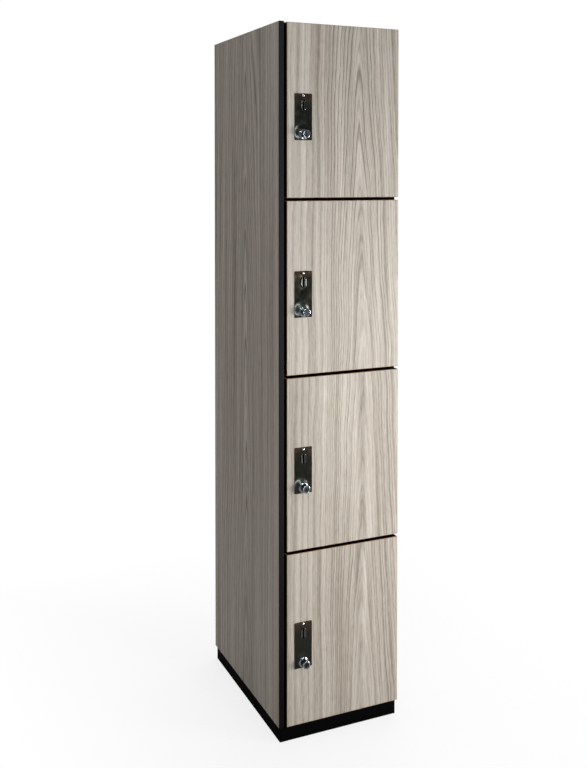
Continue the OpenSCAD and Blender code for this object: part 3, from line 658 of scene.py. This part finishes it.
cam_front, cam_back, pin_end = [high.y + behind for behind in CAM_BEHIND]
plug_face = tip + PLUG_IN
plug = turned("key_plug_1", plug_at, [
    (PLUG_RADIUS - PLUG_EDGE, plug_face), (PLUG_RADIUS, plug_face + PLUG_EDGE),
    (PLUG_RADIUS, cam_front), (CAM_RADIUS - PLUG_EDGE, cam_front),
    (CAM_RADIUS, cam_front + PLUG_EDGE), (CAM_RADIUS, cam_back - PLUG_EDGE),
    (CAM_RADIUS - PLUG_EDGE, cam_back)])
for left, right, bottom, top in KEYWAY:
    join_by(plug, "DIFFERENCE", add_box(
        "ward", (plug_at.x + left * MM, plug_face - MM, plug_at.z + bottom * MM),
        (plug_at.x + right * MM, plug_face + KEYWAY_DEEP, plug_at.z + top * MM)))
pin_at = plug_at + Vector((CAM_PIN_AT, 0, -CAM_PIN_AT))
join_by(plug, "UNION", add_rod(
    "cam_pin", (pin_at.x, cam_back - MM, pin_at.z), (pin_at.x, pin_end, pin_at.z), CAM_PIN, 32))
smooth(plug, 30)
plug_steel = metal("plug_steel", (0.075, 0.085, 0.10), 0.24)
for_each_tier(plug, "key_plug", "plug", "lock_plug", lambda tier: [plug_steel])


# ---------- Locks: screws, and the hinge pins ----------
# Zinc plated steel: four screws with cross recesses that hold each lock case, two for
# each hinge cup, and two hinge pins. The domed screw at the plate's top is polished.
RECESS_DEEP = 1.1 * MM
SMALL_CROSS, LARGE_CROSS = (1.7 * MM, 0.6 * MM), (2.2 * MM, 0.8 * MM)


def loose_parts(node):
    """The points of each separate solid of a CAD node."""
    mesh = bmesh.new()
    mesh.from_mesh(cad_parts[node].data)
    bmesh.ops.remove_doubles(mesh, verts=mesh.verts, dist=1e-6)
    left = set(mesh.verts)
    parts = []
    while left:
        reached = [left.pop()]
        for vertex in reached:
            for edge in vertex.link_edges:
                other = edge.other_vert(vertex)
                if other in left:
                    left.remove(other)
                    reached.append(other)
        parts.append([vertex.co.copy() for vertex in reached])
    mesh.free()
    return parts


def span(points):
    return (Vector([min(point[k] for point in points) for k in range(3)]),
            Vector([max(point[k] for point in points) for k in range(3)]))


def copied(node, name):
    """A copy of a CAD node, merged, with its flat faces whole, for finer edges."""
    piece = bpy.data.objects.new(name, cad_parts[node].data.copy())
    bpy.context.scene.collection.objects.link(piece)
    piece.data.name = name
    piece.data.materials.clear()
    opened(piece, "VERT")
    bpy.ops.mesh.select_all(action="SELECT")
    bpy.ops.mesh.remove_doubles(threshold=1e-6)
    bpy.ops.mesh.dissolve_limited(angle_limit=math.radians(0.5))
    bpy.ops.object.mode_set(mode="OBJECT")
    return piece


def cross_recesses(piece, node, arm, width):
    """Cuts a cross into the head of each screw of a node, at the wide end of each, but not into
    screws too narrow for it or standing in front of the plate.
    """
    cutters = []
    for points in loose_parts(node):
        low, high = span(points)
        size = high - low
        axis = max(range(3), key=lambda k: size[k])
        if size[(axis + 1) % 3] < 2 * arm or low.y < plate_low.y:
            continue
        middle = (low + high) / 2
        others = [k for k in range(3) if k != axis]
        widest = max(points, key=lambda point: sum((point[k] - middle[k]) ** 2 for k in others))
        outward = 1 if widest[axis] > middle[axis] else -1
        head = middle.copy()
        head[axis] = (high if outward > 0 else low)[axis]
        for long_way in others:
            half = Vector((width / 2,) * 3)
            half[long_way] = arm
            half[axis] = RECESS_DEEP
            cutters.append(add_box("recess", head - half, head + half))
    join_by(piece, "DIFFERENCE", *gathered(cutters))


def gathered(pieces):
    """Two objects that hold the pieces by turns, so that those of one never cross."""
    sets = []
    for share in (pieces[0::2], pieces[1::2]):
        bpy.ops.object.select_all(action="DESELECT")
        for piece in share:
            piece.select_set(True)
        bpy.context.view_layer.objects.active = share[0]
        bpy.ops.object.join()
        sets.append(bpy.context.object)
    return sets


fasteners = copied("door_fasteners_1", "door_screws_1")
cross_recesses(fasteners, "door_fasteners_1", *SMALL_CROSS)
smooth(fasteners, 35)
zinc = metal("screw_zinc", (0.62, 0.63, 0.62), 0.22, 0.15, 0.3)
bright = metal("screw_bright", (0.86, 0.90, 0.93), 0.16, 0.1, 0.1)
for finish in (zinc, bright):
    fasteners.data.materials.append(finish)
for face in fasteners.data.polygons:
    face.material_index = int(face.center.y < plate_low.y)
for_each_tier(fasteners, "door_screws", "door", "door_fasteners",
              lambda tier: [zinc, bright])


# ---------- Locks: cases, coin levers and bolts ----------
# Zinc plated pressed cases screwed behind the doors. In each are the coin's chute and
# cup, a cast brass lever that feels the coin, and the steel bolt that the cam slides.
CASE_EDGE, LEVER_EDGE, BOLT_EDGE = 0.25 * MM, 0.2 * MM, 0.4 * MM


def finer(node, name, width, body, finish, segments=2, degrees=35):
    """A copy of a CAD node with rounded edges, on its body, which replaces it."""
    piece = copied(node, name)
    soften(piece, width, segments, degrees, use_clamp_overlap=True)
    smooth(piece, 35)
    even(piece)
    piece.data.materials.append(finish)
    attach(piece, body)
    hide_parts(node)
    return piece


case_steel = metal("case_steel", (0.50, 0.50, 0.46), 0.30, 0.2, 0.3)
lever_brass = metal("lever_brass", (0.62, 0.44, 0.17), 0.26, 0.2, 0.3)
bolt_steel = metal("bolt_steel", (0.42, 0.42, 0.43), 0.24, 0.15, 0.35)
for tier in TIERS:
    finer(f"lock_case_{tier}", f"coin_case_{tier}", CASE_EDGE, f"door_{tier}",
          case_steel)
    finer(f"coin_lever_{tier}", f"lever_{tier}", LEVER_EDGE, f"lever_{tier}",
          lever_brass)
    finer(f"lock_bolt_{tier}", f"bolt_bar_{tier}", BOLT_EDGE, f"bolt_{tier}",
          bolt_steel)


# ---------- Hinges ----------
# Nickel plated concealed hinges: pressed cups set into the doors, arms that turn on
# their pins, and mounting plates screwed to the right side.
CUP_EDGE, ARM_EDGE = 0.25 * MM, 0.3 * MM

nickel = metal("hinge_nickel", (0.60, 0.57, 0.52), 0.22, 0.2, 0.25)
for tier in TIERS:
    finer(f"hinge_cups_{tier}", f"cups_{tier}", CUP_EDGE, f"door_{tier}", nickel)
finer("hinge_arms", "arms", ARM_EDGE, "carcass", nickel)
finer("hinge_plates", "mounting_plates", ARM_EDGE, "carcass", nickel)


# ---------- Strikes and bumpers ----------
# Steel strike plates let over the bolts' mortises, and soft rubber bumpers, domed,
# stuck to the front edge of the left side so that the doors close quietly.
STRIKE_EDGE, BUMPER_ROUND = 0.25 * MM, 0.9 * MM
DUSTY = [(0.35, (0.012, 0.012, 0.012)), (0.75, (0.05, 0.047, 0.043))]

strike_steel = metal("strike_steel", (0.48, 0.48, 0.47), 0.28, 0.15, 0.3)
finer("strikes", "strike_plates", STRIKE_EDGE, "carcass", strike_steel)
rubber, tree, shader = new_finish("bumper_rubber")
place = own_place(tree)
dust = noise(tree, place, (260, 260, 260), 5, 0.7)
feed(shader, "Base Color", ramp(tree, dust, DUSTY))
feed(shader, "Roughness", calc(tree, "MULTIPLY_ADD", dust, 0.25, 0.55))
bumped(shader, noise(tree, place, (2500, 2500, 2500), 2), 0.3, 0.00008)
finer("door_bumpers", "bumpers", BUMPER_ROUND, "carcass", rubber, 4)


# ---------- Finished end panel ----------
# A panel in the doors' laminate that closes the row's left end, with a thick black
# band, rounded, glued to its front edge. Screws from inside the lockers hold it.
END_HEART = (0.035, 0, 0.4)
BAND_ROUND = 1.4 * MM
QUARTER_TURN = (0, 0, math.radians(90))


def bare_rear(board):
    """Leaves the chips of a board's rear edge bare, where no laminate is glued."""
    board.data.materials.append(chipboard)
    for face in board.data.polygons:
        if face.normal.y > 0.9:
            face.material_index = len(board.data.materials) - 1


end_laminate = grained("end_laminate", END_HEART, QUARTER_TURN)
end_low, end_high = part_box("end_panel")
end = add_box("end_board", end_low, end_high)
end.data.materials.append(end_laminate)
end.data.materials.append(core_and_highlight)
# The arris bevels take material 1: the core colour with its painted highlight
soften(end, DOOR_ARRIS, 1, material=1)
bare_rear(end)
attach(end, "carcass")
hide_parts("end_panel")

band_low, band_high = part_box("end_panel_edge_band")
band = add_box("end_band", band_low, band_high)
soften(band, BAND_ROUND, 4, 60)
smooth(band)
even(band)
# The end band's black is lighter and bluish towards the top as a painted sheen, and darker towards
# the bottom as painted shade
band.data.materials.append(black("end_band_black_painted_sheen", [
    (0, (0.0012, 0.0012, 0.0016)), (0.45, (0.010, 0.0105, 0.0165)),
    (1, (0.0115, 0.0160, 0.0250))], 0.10))
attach(band, "carcass")
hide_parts("end_panel_edge_band")


# ---------- Carcass boards ----------
# Sides, top, bottom and shelves of laminated 18 mm board, screwed through the sides,
# with black bands on their front edges and a thin back let into rabbets.
BOARD_ARRIS, BAND_EDGE = 0.4 * MM, 0.2 * MM
LYING = (math.radians(90), 0, math.radians(90))

for heart, turn, nodes in (
        ((0, 0.02, 0.1), QUARTER_TURN, ("left_side", "right_side")),
        ((0.02, 0, 0.3), (0, 0, 0), ("back_panel",)),
        ((0.1, 0.03, 0), LYING,
         ("top_panel", "bottom_panel", "shelf_1", "shelf_2", "shelf_3"))):
    board_laminate = grained("board_laminate", heart, turn)
    for node in nodes:
        board = finer(node, node + "_board", BOARD_ARRIS, "carcass",
                      board_laminate, 1, 60)
        if node != "back_panel":
            bare_rear(board)
# The front bands are black, and are darkened further to near zero so that the gaps between the
# doors show painted shade
band_black_with_gap_shade = black("band_black_with_gap_shade", [
    (0, (0.0004, 0.0004, 0.0004)), (1, (0.0008, 0.0008, 0.0008))], 0.03)
finer("front_edge_bands", "front_bands", BAND_EDGE, "carcass", band_black_with_gap_shade, 1)
screws = copied("carcass_screws", "board_screws")
cross_recesses(screws, "carcass_screws", *LARGE_CROSS)
smooth(screws, 35)
screws.data.materials.append(zinc)
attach(screws, "carcass")
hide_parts("carcass_screws")


# ---------- Plinth ----------
# A low black painted frame of boards, set back under the ends, held together by raw
# softwood blocks glued and screwed into its corners.
PLINTH_ARRIS = 0.8 * MM
SOFTWOOD = [(0, (0.30, 0.17, 0.075)), (0.5, (0.56, 0.38, 0.20)), (0.95, (0.70, 0.52, 0.31))]

plinth_black = black("plinth_black", [
    (0, (0.0006, 0.0006, 0.0006)), (1, (0.0012, 0.0012, 0.0013))], 0.05)
for node in ("plinth_front", "plinth_rear", "plinth_ends"):
    finer(node, node + "_board", PLINTH_ARRIS, "carcass", plinth_black, 2, 60)
softwood, tree, shader = new_finish("raw_wood")
_, wood = grain_at(tree, (0.03, 0, 0))
feed(shader, "Base Color", ramp(tree, wood["Tone"], SOFTWOOD))
feed(shader, "Roughness", calc(tree, "MULTIPLY_ADD", wood["Pores"], 0.1, 0.7))
bumped(shader, wood["Tone"], 0.5, 0.0004)
finer("plinth_corner_blocks", "corner_blocks", PLINTH_ARRIS, "carcass",
      softwood, 1, 60)
